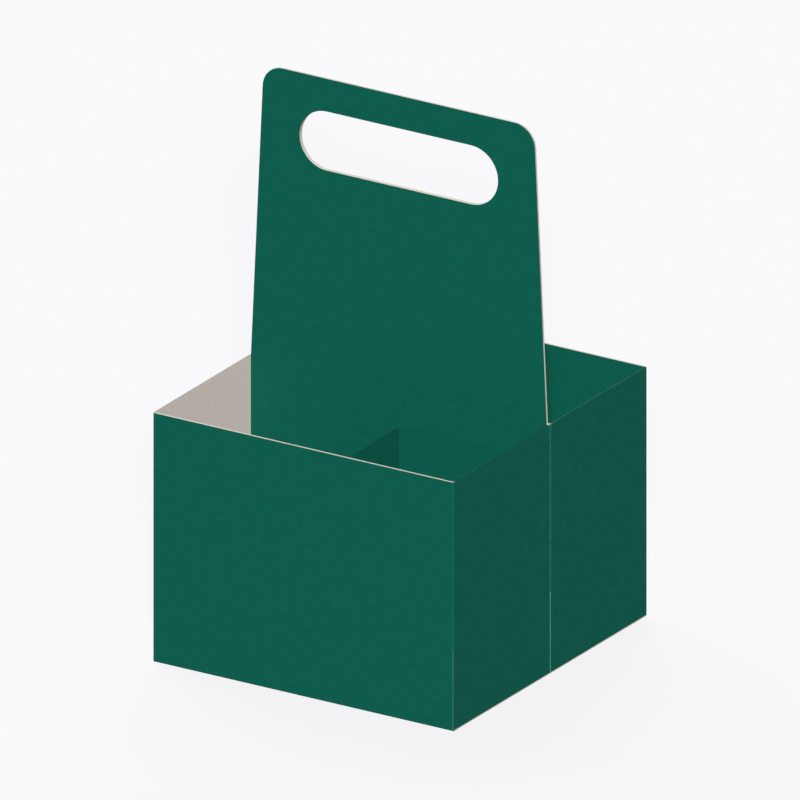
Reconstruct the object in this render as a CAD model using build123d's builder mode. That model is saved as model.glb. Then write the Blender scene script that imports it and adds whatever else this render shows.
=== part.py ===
from build123d import *
import os

# Bottle carrier: one sheet of board, cut, folded and glued into an open basket of four cells,
# with a handle of two plies that stands between the front pair of cells and the rear pair.
# Millimetres, +Z up, origin at the middle of the underside, front wall towards -Y.

# Board and folds
board = 1.0
fold_radius = 0.8        # outside of a folded corner
crease_radius = 0.2      # inside of a folded corner
seam_gap = 0.15          # between two edges or folds that lie side by side
cut_gap = 0.3            # a cut that stands open
score_width = 0.8        # pressed line on which the carrier is folded flat
score_depth = 0.25

# Basket, outside sizes
box_width = 156.0
box_depth = 161.5
wall_height = 118.3
relief_height = 38.5     # top of the open cuts in the right end wall
slit_length = 3.0        # of the cut through the front corner, across the fold
wall_flap_height = 25.0  # base panel's glue flap, turned up inside the rear wall
wall_flap_taper = 6.0    # how much that flap narrows at each end
ply_clearance = 0.5      # base panel to the lower edge of the handle plies
seam_reach = 3.0         # how far the end wall's seam runs in between the plies

# Handle
carrier_height = 258.25
handle_rim_width = 153.6
handle_top_width = 140.4
handle_corner_radius = 10.5
rear_ply_inset = 1.0
hole_width = 103.0
hole_height = 28.0
hole_drop = 15.6         # top of the handle to the top of the hole
glue_tab_width = 14.0    # rear ply's tab, on the inside of the left end wall
glue_tab_drop = 3.0      # rim to the top of that tab

# Cross partitions, each one a flap cut from a handle ply and turned out, in line with each other
partition_top = 100.2
partition_face = -0.5    # middle of the basket to the right-hand face of the partitions
partition_end_gap = 7.5  # free end of a partition to the outer wall
partition_corner = 6.0   # radius of its free top corner
glue_strip = 6.0         # board left between a window and the end wall

inner_width = box_width - 2 * board
inner_depth = box_depth - 2 * board
cell_depth = inner_depth / 2 - board
cell_centre = board + cell_depth / 2
ply_foot = board + ply_clearance


def handle_outline(inset):
    """One handle ply above the rim, drawn on XZ and smaller all round by the inset."""
    shoulder = handle_rim_width / 2 - inset
    top_corner = handle_top_width / 2 - inset
    with BuildSketch(Plane.XZ) as outline:
        with BuildLine():
            Polyline(
                (-shoulder, wall_height),
                (-top_corner, carrier_height - inset),
                (top_corner, carrier_height - inset),
                (shoulder, wall_height),
                close=True,
            )
        make_face()
        fillet(outline.vertices().group_by(Axis.Y)[-1], handle_corner_radius - inset)
    return outline.sketch


def flap_outline(plane, length, foot, top, corner):
    """A partition flap, or the window it leaves: hinge edge at the plane's origin."""
    with BuildSketch(plane) as outline:
        with Locations((0, foot)):
            Rectangle(length, top - foot, align=Align.MIN)
        free_corner = outline.vertices().group_by(Axis.X)[-1].sort_by(Axis.Y)[-1]
        fillet(free_corner, corner)
    return outline.sketch


with BuildPart() as carrier:
    # Block that holds the base panel, the four walls and the plies between the cells
    with BuildSketch():
        RectangleRounded(box_width, box_depth, fold_radius)
    extrude(amount=wall_height)

    # Front and rear pairs of cells, creased at every corner but where the plies meet the left wall
    with BuildSketch(Plane.XY.offset(board)) as cells:
        with Locations((0, -cell_centre), (0, cell_centre)):
            Rectangle(inner_width, cell_depth)
        creases = cells.vertices().filter_by(lambda v: v.X > 0 or abs(v.Y) > cell_centre)
        fillet(creases, crease_radius)
    extrude(amount=wall_height, mode=Mode.SUBTRACT)

    # The plies hang just clear of the base panel
    with Locations((0, 0, board)):
        Box(
            inner_width,
            2 * board,
            ply_clearance,
            align=(Align.CENTER, Align.CENTER, Align.MIN),
            mode=Mode.SUBTRACT,
        )

    # Base panel folded from the front wall
    with BuildSketch(Plane.YZ):
        with Locations((-box_depth / 2, 0)):
            Rectangle(fold_radius, fold_radius, align=Align.MIN)
        with Locations((-box_depth / 2 + fold_radius, fold_radius)):
            Circle(fold_radius, mode=Mode.SUBTRACT)
    extrude(amount=box_width / 2, both=True, mode=Mode.SUBTRACT)

    # Base panel's glue flap on the rear wall, and the joint line under it
    flap_foot_width = inner_width - 2 * cut_gap
    with BuildSketch(Plane.XZ.offset(-inner_depth / 2)):
        with BuildLine():
            Polyline(
                (-flap_foot_width / 2, board),
                (-flap_foot_width / 2 + wall_flap_taper, board + wall_flap_height),
                (flap_foot_width / 2 - wall_flap_taper, board + wall_flap_height),
                (flap_foot_width / 2, board),
                close=True,
            )
        make_face()
    extrude(amount=board)
    with Locations((0, inner_depth / 2, 0)):
        Box(box_width, seam_gap, board, mode=Mode.SUBTRACT)

    # Handle above the rim: front ply, and the rear ply a little smaller so that it stays hidden
    extrude(to_extrude=handle_outline(0), amount=board)
    extrude(to_extrude=handle_outline(rear_ply_inset), amount=-board)

    # Hand hole through both plies
    with BuildSketch(Plane.XZ):
        with Locations((0, carrier_height - hole_drop - hole_height / 2)):
            SlotOverall(hole_width, hole_height)
    extrude(amount=2 * board, both=True, mode=Mode.SUBTRACT)

    # Partitions: the front one is cut from the right half of the front ply, and the rear one
    # from the left half of the rear ply, so no window is open through both
    for side, hinge in ((1, partition_face), (-1, partition_face - board)):
        flap_room = inner_width / 2 - side * hinge - glue_strip - cut_gap
        flap_length = min(cell_depth - partition_end_gap, flap_room)
        ply_plane = Plane(origin=(hinge, 0, 0), x_dir=(side, 0, 0), z_dir=(0, -side, 0))
        flap_plane = Plane(origin=(hinge, 0, 0), x_dir=(0, -side, 0), z_dir=(-side, 0, 0))
        window = flap_outline(
            ply_plane,
            flap_length + cut_gap,
            board,
            partition_top + cut_gap,
            partition_corner + cut_gap,
        )
        extrude(to_extrude=window, amount=board, mode=Mode.SUBTRACT)
        flap = flap_outline(flap_plane, board + flap_length, ply_foot, partition_top, partition_corner)
        extrude(to_extrude=flap, amount=board)

    # Seam of the right end wall, where both of its halves fold in to become the plies
    with BuildSketch(Plane.XY.offset(relief_height)):
        with Locations((inner_width / 2 - seam_reach, 0)):
            Rectangle(seam_reach + board, seam_gap, align=(Align.MIN, Align.CENTER))
        with Locations((box_width / 2, 0)):
            Rectangle(fold_radius, seam_gap + 2 * fold_radius, align=(Align.MAX, Align.CENTER))
        fold_centre = seam_gap / 2 + fold_radius
        with Locations(
            (box_width / 2 - fold_radius, fold_centre),
            (box_width / 2 - fold_radius, -fold_centre),
        ):
            Circle(fold_radius, mode=Mode.SUBTRACT)
    extrude(amount=wall_height - relief_height, mode=Mode.SUBTRACT)

    # Open cuts low in the right end wall: the seam widens, and the front corner is slit
    with Locations((inner_width / 2 - seam_reach, 0, board)):
        Box(
            seam_reach + board,
            cut_gap,
            relief_height - board,
            align=(Align.MIN, Align.CENTER, Align.MIN),
            mode=Mode.SUBTRACT,
        )
    with Locations(Location(((inner_width + board) / 2, -(inner_depth + board) / 2, board), (0, 0, -45))):
        Box(
            slit_length,
            cut_gap,
            relief_height - board,
            align=(Align.CENTER, Align.CENTER, Align.MIN),
            mode=Mode.SUBTRACT,
        )

    # Front ply butts against the left end wall, and the rear ply is glued to it by a tab
    with Locations((-inner_width / 2, 0, board)):
        Box(
            seam_gap,
            board,
            wall_height - board,
            align=(Align.MIN, Align.MAX, Align.MIN),
            mode=Mode.SUBTRACT,
        )
    with Locations((-inner_width / 2, board, ply_foot)):
        Box(
            board,
            glue_tab_width,
            wall_height - glue_tab_drop - ply_foot,
            align=Align.MIN,
        )

    # Scores along the middle of the left end wall and of the base panel, for folding it flat
    with Locations((-box_width / 2, 0, 0)):
        Box(
            2 * score_depth,
            score_width,
            2 * wall_height,
            mode=Mode.SUBTRACT,
        )
        Box(
            2 * box_width,
            score_width,
            2 * score_depth,
            mode=Mode.SUBTRACT,
        )

carrier.part.label = "carrier"
os.makedirs("parts", exist_ok=True)
export_step(carrier.part, "parts/carrier.step")
print("solids", len(carrier.part.solids()), "volume cm3", round(carrier.part.volume / 1000, 2))
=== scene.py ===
import math

import bmesh
import bpy
from bpy.props import FloatProperty, FloatVectorProperty, PointerProperty
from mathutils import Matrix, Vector


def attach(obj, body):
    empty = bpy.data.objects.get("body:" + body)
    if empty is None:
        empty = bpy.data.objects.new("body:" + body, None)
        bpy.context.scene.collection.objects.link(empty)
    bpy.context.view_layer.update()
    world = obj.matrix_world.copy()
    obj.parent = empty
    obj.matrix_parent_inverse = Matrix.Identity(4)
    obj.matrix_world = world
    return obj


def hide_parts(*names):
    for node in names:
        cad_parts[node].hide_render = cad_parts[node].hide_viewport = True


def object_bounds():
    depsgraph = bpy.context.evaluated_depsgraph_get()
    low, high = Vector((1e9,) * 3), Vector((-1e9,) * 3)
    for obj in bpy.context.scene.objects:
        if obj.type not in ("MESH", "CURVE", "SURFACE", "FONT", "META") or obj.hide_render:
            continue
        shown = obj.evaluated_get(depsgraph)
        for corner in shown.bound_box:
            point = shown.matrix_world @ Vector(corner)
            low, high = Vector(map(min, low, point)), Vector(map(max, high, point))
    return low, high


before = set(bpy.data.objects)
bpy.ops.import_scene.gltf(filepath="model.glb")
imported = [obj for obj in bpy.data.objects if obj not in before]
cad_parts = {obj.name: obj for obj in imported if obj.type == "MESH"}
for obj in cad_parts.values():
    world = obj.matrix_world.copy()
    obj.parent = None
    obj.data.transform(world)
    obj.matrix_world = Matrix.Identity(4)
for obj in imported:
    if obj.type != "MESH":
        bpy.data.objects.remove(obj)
CAD_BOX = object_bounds()

bl_info = {
    "name": "Board Bottle Carrier",
    "version": (1, 0, 0),
    "blender": (4, 5, 0),
    "location": "View3D > Sidebar > Carrier",
    "description": "Dresses the folded board bottle carrier and sets its stage",
    "category": "Object",
}

NODE = "carrier"
FOLD_WEAR = "fold_wear"
MM = 0.001

# The order of the board's finishes in the piece's material slots
PRINTED, BARE, CUT, INKED_AND_LIT, PAINTED_SHADE_RIM = range(5)

# Points that are closer than the first are one point, and the second is as good as on a plane
SAME_POINT = 0.001 * MM
ON_PLANE = 0.01 * MM

# A panel is flat up to the first angle between its triangles, and an edge is sharp past the second
FLAT_ANGLE = math.radians(0.5)
SHARP_ANGLE = math.radians(20)

# A face looks along an axis if this much of its normal does, and is square to it below the other
ALONG = 0.9
SQUARE = 0.02

# Noise seldom goes below or above these
PULP_ENDS = (0.3, 0.7)

# Metres: the floor ends outside every view, and the camera stands clear of the carrier
FLOOR_HALF_SIDE = 6.0
CAMERA_DISTANCE = 1.5


def linear(code):
    """An sRGB hex value as the linear colour that a shader takes."""
    channels = [int(code[i:i + 2], 16) / 255 for i in (0, 2, 4)]
    return tuple(c / 12.92 if c <= 0.04045 else ((c + 0.055) / 1.055) ** 2.4 for c in channels)


def rgba(colour):
    """A colour with full alpha."""
    return (*colour, 1.0)


class BoardSettings(bpy.types.PropertyGroup):
    """Sizes and colours of the board."""

    thickness: FloatProperty(
        name="Board Thickness",
        description="Width of a cut edge of the board",
        default=1.0 * MM,
        min=0.2 * MM,
        unit="LENGTH",
    )
    wall_height: FloatProperty(
        name="Wall Height",
        description="Floor to the rim of the basket",
        default=118.3 * MM,
        unit="LENGTH",
    )
    cut_height: FloatProperty(
        name="Cut Height",
        description="Floor to the top of the open cuts in the end wall",
        default=38.5 * MM,
        unit="LENGTH",
    )
    base_edge: FloatProperty(
        name="Base Edge",
        description="How much of the base panel's cut edge shows below an end wall",
        default=0.5 * MM,
        unit="LENGTH",
    )
    print_colour: FloatVectorProperty(
        name="Print",
        description="Green printed over the board, as it dries under matt varnish",
        subtype="COLOR",
        default=linear("085B4B"),
    )
    bare_colour: FloatVectorProperty(
        name="Bare Board",
        description="Unprinted face of the board",
        subtype="COLOR",
        default=linear("DDCEC8"),
    )
    edge_colour: FloatVectorProperty(
        name="Cut Edge",
        description="Pulp that a die-cut edge lays open",
        subtype="COLOR",
        default=linear("D3D0C4"),
    )
    # Painted light: the inked edge is green from the ink, but lighter than tinted pulp would be, to
    # lift the shade inside the narrow cuts
    inked_and_lit_colour: FloatVectorProperty(
        name="Inked Edge With Painted Light",
        description="Pulp of the open cuts low in the end wall, tinted by the ink and lightened as painted light",
        subtype="COLOR",
        default=linear("73C4B0"),
    )
    # Painted shade: the left rim faces up, but this colour darkens it to the shaded tone of the wall's
    # bare face
    painted_shade_rim_colour: FloatVectorProperty(
        name="Painted Shade Rim",
        description="Pulp of the left end wall's rim, darkened as painted shade",
        subtype="COLOR",
        default=linear("A9A29D"),
    )
    grain: FloatProperty(
        name="Fibre Grain",
        description="Size of the clouding that the fibres leave in the face",
        default=1.6 * MM,
        unit="LENGTH",
    )
    wear: FloatProperty(
        name="Fold Wear",
        description="How pale the cracks in the print along the folds are",
        subtype="FACTOR",
        default=0.008,
        min=0.0,
        max=1.0,
    )
    seam_wear: FloatProperty(
        name="Seam Wear",
        description="The same for the two folds that meet at the seam",
        subtype="FACTOR",
        default=0.035,
        min=0.0,
        max=1.0,
    )


class StageSettings(bpy.types.PropertyGroup):
    """Camera, light and backdrop."""

    azimuth: FloatProperty(
        name="Azimuth",
        description="Turn of the camera round the carrier, from the front wall towards the seam",
        subtype="ANGLE",
        default=math.radians(31.94),
    )
    elevation: FloatProperty(
        name="Elevation",
        description="Height of the camera above the horizon",
        subtype="ANGLE",
        default=math.radians(21.98),
    )
    frame_width: FloatProperty(
        name="Frame Width",
        description="Width of the picture at the carrier",
        default=0.3524,
        unit="LENGTH",
    )
    aim_height: FloatProperty(
        name="Aim Height",
        description="Height of the point at the middle of the picture",
        default=0.1133,
        unit="LENGTH",
    )
    backdrop: FloatVectorProperty(
        name="Backdrop",
        description="Pale colour of the floor and of what lies behind it",
        subtype="COLOR",
        default=linear("FAF9FC"),
    )
    floor_glow: FloatProperty(
        name="Floor Glow",
        description="How bright the floor looks by itself, apart from the lights that fall on it",
        default=0.8,
    )
    floor_catch: FloatProperty(
        name="Floor Catch",
        description="Share of the lights that the floor shows, and that the carrier's shadow takes",
        subtype="FACTOR",
        default=0.18,
    )
    floor_bounce: FloatProperty(
        name="Floor Bounce",
        description="Share of the lights that the floor throws back on the carrier",
        subtype="FACTOR",
        default=0.12,
    )
    key_power: FloatProperty(
        name="Key Light",
        description="Strength of the light from behind the camera",
        default=2.52,
    )
    key_azimuth: FloatProperty(
        name="Key Azimuth",
        description="Direction that the key light comes from, counted as the camera's is",
        subtype="ANGLE",
        default=math.radians(32.5),
    )
    key_elevation: FloatProperty(
        name="Key Elevation",
        description="Height of the key light: just above the camera, so shadows stay narrow",
        subtype="ANGLE",
        default=math.radians(25),
    )
    key_spread: FloatProperty(
        name="Key Spread",
        description="Width of the key light in the sky",
        subtype="ANGLE",
        default=math.radians(6),
    )
    fill_power: FloatProperty(
        name="Fill Light",
        description="Strength of the light that reaches into the cells without a shadow",
        default=1.32,
    )
    fill_azimuth: FloatProperty(
        name="Fill Azimuth",
        description="Direction that the fill light comes from",
        subtype="ANGLE",
        default=math.radians(39),
    )
    fill_elevation: FloatProperty(
        name="Fill Elevation",
        description="Height of the fill light",
        subtype="ANGLE",
        default=math.radians(45),
    )
    back_power: FloatProperty(
        name="Back Light",
        description="Strength of the light on the rear of the carrier",
        default=2.75,
    )
    back_azimuth: FloatProperty(
        name="Back Azimuth",
        description="Direction that the back light comes from",
        subtype="ANGLE",
        default=math.radians(228),
    )
    back_elevation: FloatProperty(
        name="Back Elevation",
        description="Height of the back light",
        subtype="ANGLE",
        default=math.radians(25),
    )
    back_spread: FloatProperty(
        name="Back Spread",
        description="Width of the back light in the sky",
        subtype="ANGLE",
        default=math.radians(80),
    )
    sky_power: FloatProperty(
        name="Sky",
        description="Strength of the light from all round",
        default=0.1,
    )


def add_node(tree, kind, inputs=None, **settings):
    """Adds a node, sets its properties, and sets or links its inputs."""
    node = tree.nodes.new(kind)
    for name, value in settings.items():
        setattr(node, name, value)
    for name, value in (inputs or {}).items():
        socket = node.inputs[name]
        if isinstance(value, bpy.types.NodeSocket):
            tree.links.new(value, socket)
        else:
            socket.default_value = value
    return node


def new_material(name):
    """An empty node material and its tree."""
    material = bpy.data.materials.new(name)
    material.use_nodes = True
    material.node_tree.nodes.clear()
    return material, material.node_tree


def pulp_pattern(tree, size, detail):
    """Noise from 0 to 1, whose largest clouds have the size given for X, Y and Z."""
    place = add_node(tree, "ShaderNodeTexCoord").outputs["Object"]
    stretched = add_node(
        tree,
        "ShaderNodeMapping",
        {"Vector": place, "Scale": [1 / length for length in size]},
    )
    clouds = add_node(
        tree,
        "ShaderNodeTexNoise",
        {"Vector": stretched.outputs["Vector"], "Scale": 1.0, "Detail": detail, "Roughness": 0.65},
    )
    return clouds.outputs["Fac"]


def clouded(tree, colour, pattern, ends, tones):
    """A colour whose brightness goes from one tone to the other between two ends of a pattern."""
    tone = add_node(
        tree,
        "ShaderNodeMapRange",
        {
            "Value": pattern,
            "From Min": ends[0],
            "From Max": ends[1],
            "To Min": tones[0],
            "To Max": tones[1],
        },
    )
    changed = add_node(
        tree,
        "ShaderNodeHueSaturation",
        {"Color": colour, "Value": tone.outputs["Result"]},
    )
    return changed.outputs["Color"]


def printed_board(board):
    """Solid bleached board, offset printed green under a matt water-based varnish: an even colour
    that clouds a little with the pulp below, dry fine tooth, and paler cracks along the folds."""
    material, tree = new_material("printed_bleached_board")
    g = board.grain
    # The pulp clouds run a little longer along the board's grain, which goes round the walls
    clouds = pulp_pattern(tree, (3.0 * g, 3.0 * g, 2.0 * g), detail=1.0)
    # Real fibres are 0.03 mm wide and wouldn't show, so the tooth starts at half the grain
    tooth = pulp_pattern(tree, (0.6 * g, 0.6 * g, 0.45 * g), detail=4.0)
    ink = clouded(tree, rgba(board.print_colour), clouds, PULP_ENDS, (0.95, 1.05))
    ink = clouded(tree, ink, tooth, PULP_ENDS, (0.9, 1.1))
    # Cracks a few millimetres long and hair-fine, only where a fold has stretched the print
    cracks = pulp_pattern(tree, (0.15 * g, 0.15 * g, 2.0 * g), detail=2.0)
    broken = add_node(
        tree,
        "ShaderNodeMapRange",
        {"Value": cracks, "From Min": 0.42, "From Max": 0.6},
    )
    fold = add_node(tree, "ShaderNodeAttribute", attribute_name=FOLD_WEAR)
    worn = add_node(
        tree,
        "ShaderNodeMath",
        {0: broken.outputs["Result"], 1: fold.outputs["Fac"]},
        operation="MULTIPLY",
    )
    # Inputs 6 and 7 and output 2 are the colours of a Mix node
    colour = add_node(
        tree,
        "ShaderNodeMix",
        {0: worn.outputs["Value"], 6: ink, 7: rgba(board.edge_colour)},
        data_type="RGBA",
    )
    # The varnish lies a little thicker, so smoother, on the high fibres
    varnish = add_node(
        tree,
        "ShaderNodeMapRange",
        {
            "Value": tooth,
            "From Min": PULP_ENDS[0],
            "From Max": PULP_ENDS[1],
            "To Min": 0.84,
            "To Max": 0.74,
        },
    )
    relief = add_node(
        tree,
        "ShaderNodeBump",
        {"Height": tooth, "Strength": 0.3, "Distance": 0.05 * MM},
    )
    shader = add_node(
        tree,
        "ShaderNodeBsdfPrincipled",
        {
            "Base Color": colour.outputs[2],
            "Roughness": varnish.outputs["Result"],
            "Specular IOR Level": 0.08,
            "Normal": relief.outputs["Normal"],
        },
    )
    add_node(tree, "ShaderNodeOutputMaterial", {"Surface": shader.outputs["BSDF"]})
    return material


def bare_board(board):
    """The unprinted face of the same board: uncoated and dry, warm grey, clouded by its fibres
    and flecked with a few that kept their bark."""
    material, tree = new_material("unprinted_board")
    g = board.grain
    clouds = pulp_pattern(tree, (2.0 * g, 2.0 * g, 1.4 * g), detail=5.0)
    flecks = pulp_pattern(tree, (0.45 * g, 0.45 * g, 0.3 * g), detail=1.0)
    pulp = clouded(tree, rgba(board.bare_colour), clouds, PULP_ENDS, (0.96, 1.04))
    # Only the rare peaks of the finer pattern darken to flecks
    pulp = clouded(tree, pulp, flecks, (0.68, 0.78), (1.0, 0.8))
    relief = add_node(
        tree,
        "ShaderNodeBump",
        {"Height": clouds, "Strength": 0.5, "Distance": 0.06 * MM},
    )
    shader = add_node(
        tree,
        "ShaderNodeBsdfPrincipled",
        {
            "Base Color": pulp,
            "Roughness": 0.9,
            "Specular IOR Level": 0.08,
            "Normal": relief.outputs["Normal"],
        },
    )
    add_node(tree, "ShaderNodeOutputMaterial", {"Surface": shader.outputs["BSDF"]})
    return material


def cut_edge(board):
    """Die-cut edge of the board: open pulp in thin layers, paler than either face, with the
    darker line of glue where the two plies of the handle meet."""
    material, tree = new_material("die_cut_board_edge")
    g = board.grain
    layers = pulp_pattern(tree, (g, 0.2 * g, g), detail=3.0)
    pulp = clouded(tree, rgba(board.edge_colour), layers, PULP_ENDS, (0.92, 1.06))
    # The plies meet at the middle of the carrier, where Y is nought
    place = add_node(tree, "ShaderNodeTexCoord").outputs["Object"]
    depth = add_node(tree, "ShaderNodeSeparateXYZ", {"Vector": place})
    off_glue = add_node(tree, "ShaderNodeMath", {0: depth.outputs["Y"]}, operation="ABSOLUTE")
    pulp = clouded(tree, pulp, off_glue.outputs["Value"], (0.05 * MM, 0.12 * MM), (0.6, 1.0))
    shader = add_node(
        tree,
        "ShaderNodeBsdfPrincipled",
        {"Base Color": pulp, "Roughness": 0.95, "Specular IOR Level": 0.08},
    )
    add_node(tree, "ShaderNodeOutputMaterial", {"Surface": shader.outputs["BSDF"]})
    return material


def inked_and_lit_edge(board):
    """Cut edge tinted green by the ink: open pulp again, patchy where it soaked up more of the ink,
    and brightened as painted light against the shade inside the narrow cuts."""
    material, tree = new_material("inked_and_lit_board_edge")
    g = board.grain
    soaked = pulp_pattern(tree, (g, g, 2.0 * g), detail=3.0)
    pulp = clouded(tree, rgba(board.inked_and_lit_colour), soaked, PULP_ENDS, (0.85, 1.1))
    shader = add_node(
        tree,
        "ShaderNodeBsdfPrincipled",
        {"Base Color": pulp, "Roughness": 0.9, "Specular IOR Level": 0.08},
    )
    add_node(tree, "ShaderNodeOutputMaterial", {"Surface": shader.outputs["BSDF"]})
    return material


def painted_shade_rim_edge(board):
    """Cut edge of the left end wall's rim, darkened as painted shade: the same pulp, no paler than
    the shaded bare face below it, and a little smoother than a cut edge."""
    material, tree = new_material("board_edge_painted_shade")
    g = board.grain
    rim_clouds = pulp_pattern(tree, (g, g, g), detail=3.0)
    pulp = clouded(tree, rgba(board.painted_shade_rim_colour), rim_clouds, PULP_ENDS, (0.94, 1.06))
    shader = add_node(
        tree,
        "ShaderNodeBsdfPrincipled",
        {"Base Color": pulp, "Roughness": 0.85, "Specular IOR Level": 0.08},
    )
    add_node(tree, "ShaderNodeOutputMaterial", {"Surface": shader.outputs["BSDF"]})
    return material


def on_rim(face, board):
    """True for the flat tops of the walls."""
    level = all(abs(v.co.z - board.wall_height) < ON_PLANE for v in face.verts)
    return level and face.normal.z > ALONG


def on_end_wall(face, side):
    """True for the flat outside of an end wall: 1 is the side of the seam, and -1 the other."""
    flush = all(abs(side * v.co.x - CAD_BOX[1].x) < ON_PLANE for v in face.verts)
    return flush and side * face.normal.x > ALONG


def is_fold(face):
    """True for the narrow faces that round a fold between two walls, or a wall and the base."""
    n = face.normal
    return abs(n.y) > SQUARE and abs(n.x) + abs(n.z) > SQUARE


def in_score(face, board):
    """True in the lines pressed along the base panel and up the left end wall."""
    t = board.thickness
    pressed_wall = t / 2 - CAD_BOX[1].x
    return all(abs(v.co.y) < t and (v.co.z < t / 2 or v.co.x < pressed_wall) for v in face.verts)


def in_open_cut(face, board):
    """True inside the cuts low in the right end wall: the slit front corner and the widened seam,
    with the ledges at their upper ends."""
    t = board.thickness
    end_wall, rear_wall, _ = CAD_BOX[1]
    n = face.normal
    c = face.calc_center_median()
    # The slit's walls run inwards from the corner, so their normals have X and Y alike
    corner_slit = n.x * n.y > 0.3 and c.x > end_wall - 2 * t and c.y < 2 * t - rear_wall
    seam_cut = abs(n.y) > ALONG and abs(c.y) < 0.2 * t and c.x > end_wall - 5 * t
    ledge = n.z > ALONG and abs(c.z - board.cut_height) < 0.1 * t
    return ledge or c.z < board.cut_height and (corner_slit or seam_cut)


def face_finish(face, board):
    """Which finish a face of the carrier has, from its width, its place and the way it faces."""
    t = board.thickness
    near = 0.1 * t
    end_wall, rear_wall, _ = CAD_BOX[1]
    n = face.normal
    c = face.calc_center_median()
    # Handle: everything but its two sides is a cut edge
    if c.z > board.wall_height + near:
        return PRINTED if abs(n.y) > ALONG else CUT
    # Rims: pale in front and at the back, darkened as painted shade on the left end wall, and inked
    # over on the two halves of the right one, but not where they turn in
    if n.z > ALONG and c.z > board.wall_height - near:
        if abs(c.y) > rear_wall - t:
            return CUT
        if c.x < 0:
            return PAINTED_SHADE_RIM
        return PRINTED if abs(c.y) > t else CUT
    # The open cuts and their ledges take the inked edge: painted light in the shaded cuts, and painted
    # shade on the ledges that face up
    if in_open_cut(face, board):
        return INKED_AND_LIT
    # Base panel: its top and its glue flap are bare, and its sides are cut
    base_top = n.z > ALONG and c.z < 1.5 * t
    glue_flap = n.y < -ALONG and abs(c.y - rear_wall + 2 * t) < near
    if base_top or glue_flap:
        return BARE
    if abs(c.x) > end_wall - near and c.z < board.base_edge:
        return CUT
    # End walls: bare inside, with the half of each crease that turns towards them
    turned_in = n.x * c.x < 0 and abs(n.x) > abs(n.y)
    if turned_in and end_wall - 1.3 * t < abs(c.x) < end_wall - 0.9 * t:
        return BARE
    # Panels, partition edges, scores and folds are inked, and other faces as narrow as an edge are cut
    width = 2 * face.calc_area() / sum(edge.calc_length() for edge in face.edges)
    panel = width > 2.05 * t
    partition_edge = abs(c.y) > t and abs(c.x) < 2 * t
    if panel or partition_edge or in_score(face, board) or is_fold(face):
        return PRINTED
    return CUT


def fold_wear(face, board):
    """How far the print on a face has cracked: most at the seam, where the folds rub together."""
    if not is_fold(face):
        return 0.0
    c = face.calc_center_median()
    seam = c.x > CAD_BOX[1].x - board.thickness and abs(c.y) < 2 * board.thickness
    return board.seam_wear if seam else board.wear


def split_face(form, face, place, across):
    """Splits one flat face of the form along a plane."""
    geometry = [face, *face.edges, *face.verts]
    bmesh.ops.bisect_plane(form, geom=geometry, dist=SAME_POINT, plane_co=place, plane_no=across)


def split_finishes(form, board):
    """Splits the flat faces that have two finishes: rims at the walls' inner sides, and end walls
    where the base panel's edge begins."""
    rear_wall = CAD_BOX[1].y
    for side in (-1, 1):
        for cut in (board.thickness, rear_wall - board.thickness):
            for face in [f for f in form.faces if on_rim(f, board)]:
                split_face(form, face, Vector((0, side * cut, 0)), Vector((0, 1, 0)))
        for face in [f for f in form.faces if on_end_wall(f, side)]:
            split_face(form, face, Vector((0, 0, board.base_edge)), Vector((0, 0, 1)))


def carrier_mesh(board):
    """The carrier's mesh, joined up and with a finish for each face."""
    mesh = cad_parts[NODE].data.copy()
    mesh.name = "folded_carrier"
    mesh.materials.clear()
    for make in (printed_board, bare_board, cut_edge, inked_and_lit_edge, painted_shade_rim_edge):
        mesh.materials.append(make(board))
    form = bmesh.new()
    form.from_mesh(mesh)
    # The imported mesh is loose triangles: they are joined, and each flat panel becomes one face
    bmesh.ops.remove_doubles(form, verts=form.verts, dist=SAME_POINT)
    bmesh.ops.dissolve_limit(form, angle_limit=FLAT_ANGLE, verts=form.verts, edges=form.edges)
    split_finishes(form, board)
    wear = form.faces.layers.float.new(FOLD_WEAR)
    for face in form.faces:
        face.material_index = face_finish(face, board)
        face[wear] = fold_wear(face, board)
        face.smooth = True
    form.to_mesh(mesh)
    form.free()
    mesh.set_sharp_from_angle(angle=SHARP_ANGLE)
    return mesh


class CARRIER_OT_board(bpy.types.Operator):
    """Put the board's finishes on the folded carrier"""

    bl_idname = "carrier.board"
    bl_label = "Dress Carrier"
    bl_options = {"REGISTER", "UNDO"}

    def execute(self, context):
        mesh = carrier_mesh(context.scene.carrier_board)
        piece = bpy.data.objects.new("folded_carrier", mesh)
        context.scene.collection.objects.link(piece)
        # Panels keep a flat shade, and only the folds between them are shaded round
        weights = piece.modifiers.new("Flat Panels", "WEIGHTED_NORMAL")
        weights.keep_sharp = True
        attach(piece, "root")
        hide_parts(NODE)
        return {"FINISHED"}


def seen_rays(tree):
    """One for the rays that show a background: camera, glossy and see-through ones."""
    rays = add_node(tree, "ShaderNodeLightPath").outputs
    seen = rays["Is Camera Ray"]
    for kind in ("Is Glossy Ray", "Is Transmission Ray"):
        either = add_node(tree, "ShaderNodeMath", {0: seen, 1: rays[kind]}, operation="MAXIMUM")
        seen = either.outputs["Value"]
    return seen


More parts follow.
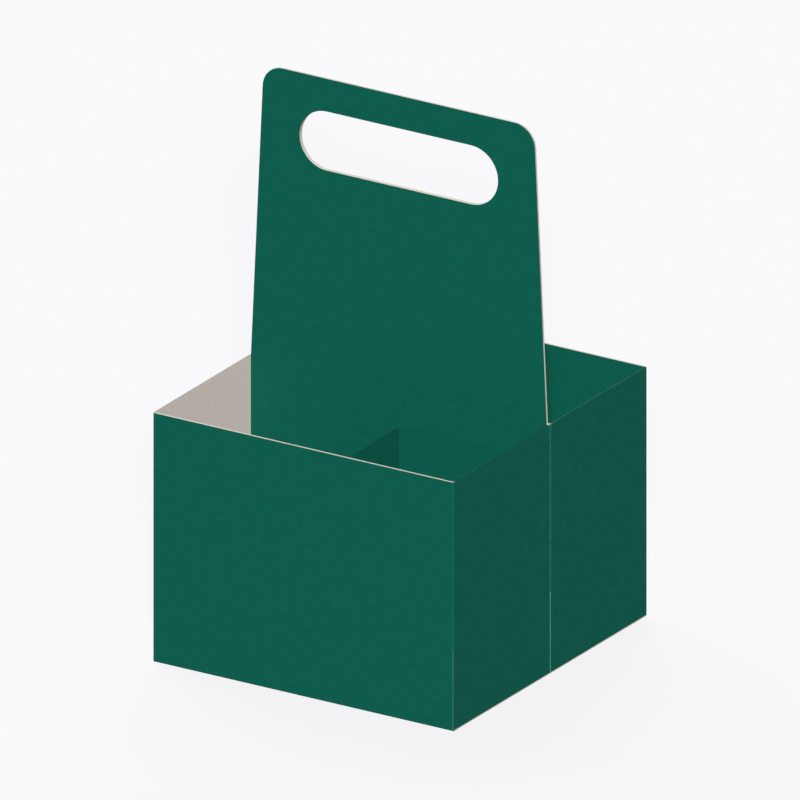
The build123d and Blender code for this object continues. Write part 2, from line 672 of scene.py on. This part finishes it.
def backdrop_material(stage):
    """Floor that the camera, glossy and see-through rays find pale, with the carrier's shadow on it."""
    material, tree = new_material("pale_floor")
    caught = rgba([stage.floor_catch * channel for channel in stage.backdrop])
    lit = add_node(tree, "ShaderNodeBsdfDiffuse", {"Color": caught})
    glow = add_node(
        tree,
        "ShaderNodeEmission",
        {"Color": rgba(stage.backdrop), "Strength": stage.floor_glow},
    )
    pale = add_node(
        tree,
        "ShaderNodeAddShader",
        {0: lit.outputs["BSDF"], 1: glow.outputs["Emission"]},
    )
    bounce = add_node(
        tree,
        "ShaderNodeBsdfDiffuse",
        {"Color": rgba([stage.floor_bounce] * 3)},
    )
    mix = add_node(
        tree,
        "ShaderNodeMixShader",
        {0: seen_rays(tree), 1: bounce.outputs["BSDF"], 2: pale.outputs["Shader"]},
    )
    add_node(tree, "ShaderNodeOutputMaterial", {"Surface": mix.outputs["Shader"]})
    return material


def towards(azimuth, elevation):
    """Direction from the carrier, with azimuth 0 in front of it and 90 degrees at the seam."""
    level = math.cos(elevation)
    return Vector((math.sin(azimuth) * level, -math.cos(azimuth) * level, math.sin(elevation)))


def look_along(piece, direction):
    """Points a lamp or the camera."""
    piece.rotation_mode = "QUATERNION"
    piece.rotation_quaternion = direction.to_track_quat("-Z", "Y")


def add_sun(context, name, azimuth, elevation, strength, spread=0.0):
    """A distant lamp in the direction given, softer the wider its spread."""
    lamp = bpy.data.lights.new(name, "SUN")
    lamp.energy = strength
    lamp.angle = spread
    sun = bpy.data.objects.new(name, lamp)
    sun.location = towards(azimuth, elevation)
    look_along(sun, -sun.location)
    context.scene.collection.objects.link(sun)
    return sun


class CARRIER_OT_stage(bpy.types.Operator):
    """Build the pale floor, the soft lights and the camera"""

    bl_idname = "carrier.stage"
    bl_label = "Set Stage"
    bl_options = {"REGISTER", "UNDO"}

    def execute(self, context):
        scene = context.scene
        stage = scene.carrier_stage
        self.add_floor(context, stage)
        self.add_sky(scene, stage)
        self.add_lights(context, stage)
        self.add_camera(context, stage)
        scene.view_settings.view_transform = "Standard"
        return {"FINISHED"}

    def add_floor(self, context, stage):
        form = bmesh.new()
        bmesh.ops.create_grid(form, x_segments=1, y_segments=1, size=FLOOR_HALF_SIDE)
        mesh = bpy.data.meshes.new("floor")
        form.to_mesh(mesh)
        form.free()
        mesh.materials.append(backdrop_material(stage))
        floor = bpy.data.objects.new("floor", mesh)
        context.scene.collection.objects.link(floor)

    def add_sky(self, scene, stage):
        world = bpy.data.worlds.new("studio")
        world.use_nodes = True
        tree = world.node_tree
        tree.nodes.clear()
        light = add_node(
            tree,
            "ShaderNodeBackground",
            {"Color": rgba(linear("FFFFFF")), "Strength": stage.sky_power},
        )
        pale = add_node(tree, "ShaderNodeBackground", {"Color": rgba(stage.backdrop)})
        mix = add_node(
            tree,
            "ShaderNodeMixShader",
            {0: seen_rays(tree), 1: light.outputs["Background"], 2: pale.outputs["Background"]},
        )
        add_node(tree, "ShaderNodeOutputWorld", {"Surface": mix.outputs["Shader"]})
        scene.world = world

    def add_lights(self, context, stage):
        key = (stage.key_azimuth, stage.key_elevation, stage.key_power, stage.key_spread)
        fill = (stage.fill_azimuth, stage.fill_elevation, stage.fill_power)
        back = (stage.back_azimuth, stage.back_elevation, stage.back_power, stage.back_spread)
        add_sun(context, "key_light", *key)
        # The cells are lit nearly as evenly as the outside, so the walls don't stop this light
        add_sun(context, "fill_light", *fill).data.use_shadow = False
        # A glancing sheen from behind would draw the inked rims as pale lines
        add_sun(context, "back_light", *back).visible_glossy = False

    def add_camera(self, context, stage):
        lens = bpy.data.cameras.new("camera")
        lens.type = "ORTHO"
        lens.ortho_scale = stage.frame_width
        camera = bpy.data.objects.new("camera", lens)
        back = towards(stage.azimuth, stage.elevation)
        camera.location = Vector((0, 0, stage.aim_height)) + CAMERA_DISTANCE * back
        look_along(camera, -back)
        context.scene.collection.objects.link(camera)
        context.scene.camera = camera


class CARRIER_PT_sidebar(bpy.types.Panel):
    """Sidebar panel with the carrier's sizes, colours and steps"""

    bl_label = "Bottle Carrier"
    bl_idname = "CARRIER_PT_sidebar"
    bl_space_type = "VIEW_3D"
    bl_region_type = "UI"
    bl_category = "Carrier"

    def draw(self, context):
        for title, settings, operator in (
            ("Board", context.scene.carrier_board, CARRIER_OT_board),
            ("Stage", context.scene.carrier_stage, CARRIER_OT_stage),
        ):
            box = self.layout.box()
            box.label(text=title)
            for name in settings.__annotations__:
                box.prop(settings, name)
            box.operator(operator.bl_idname)


CLASSES = (BoardSettings, StageSettings, CARRIER_OT_board, CARRIER_OT_stage, CARRIER_PT_sidebar)


def register():
    for cls in CLASSES:
        bpy.utils.register_class(cls)
    bpy.types.Scene.carrier_board = PointerProperty(type=BoardSettings)
    bpy.types.Scene.carrier_stage = PointerProperty(type=StageSettings)


def unregister():
    del bpy.types.Scene.carrier_stage
    del bpy.types.Scene.carrier_board
    for cls in reversed(CLASSES):
        bpy.utils.unregister_class(cls)


def main():
    register()
    bpy.ops.carrier.board()
    bpy.ops.carrier.stage()


if __name__ == "__main__":
    main()
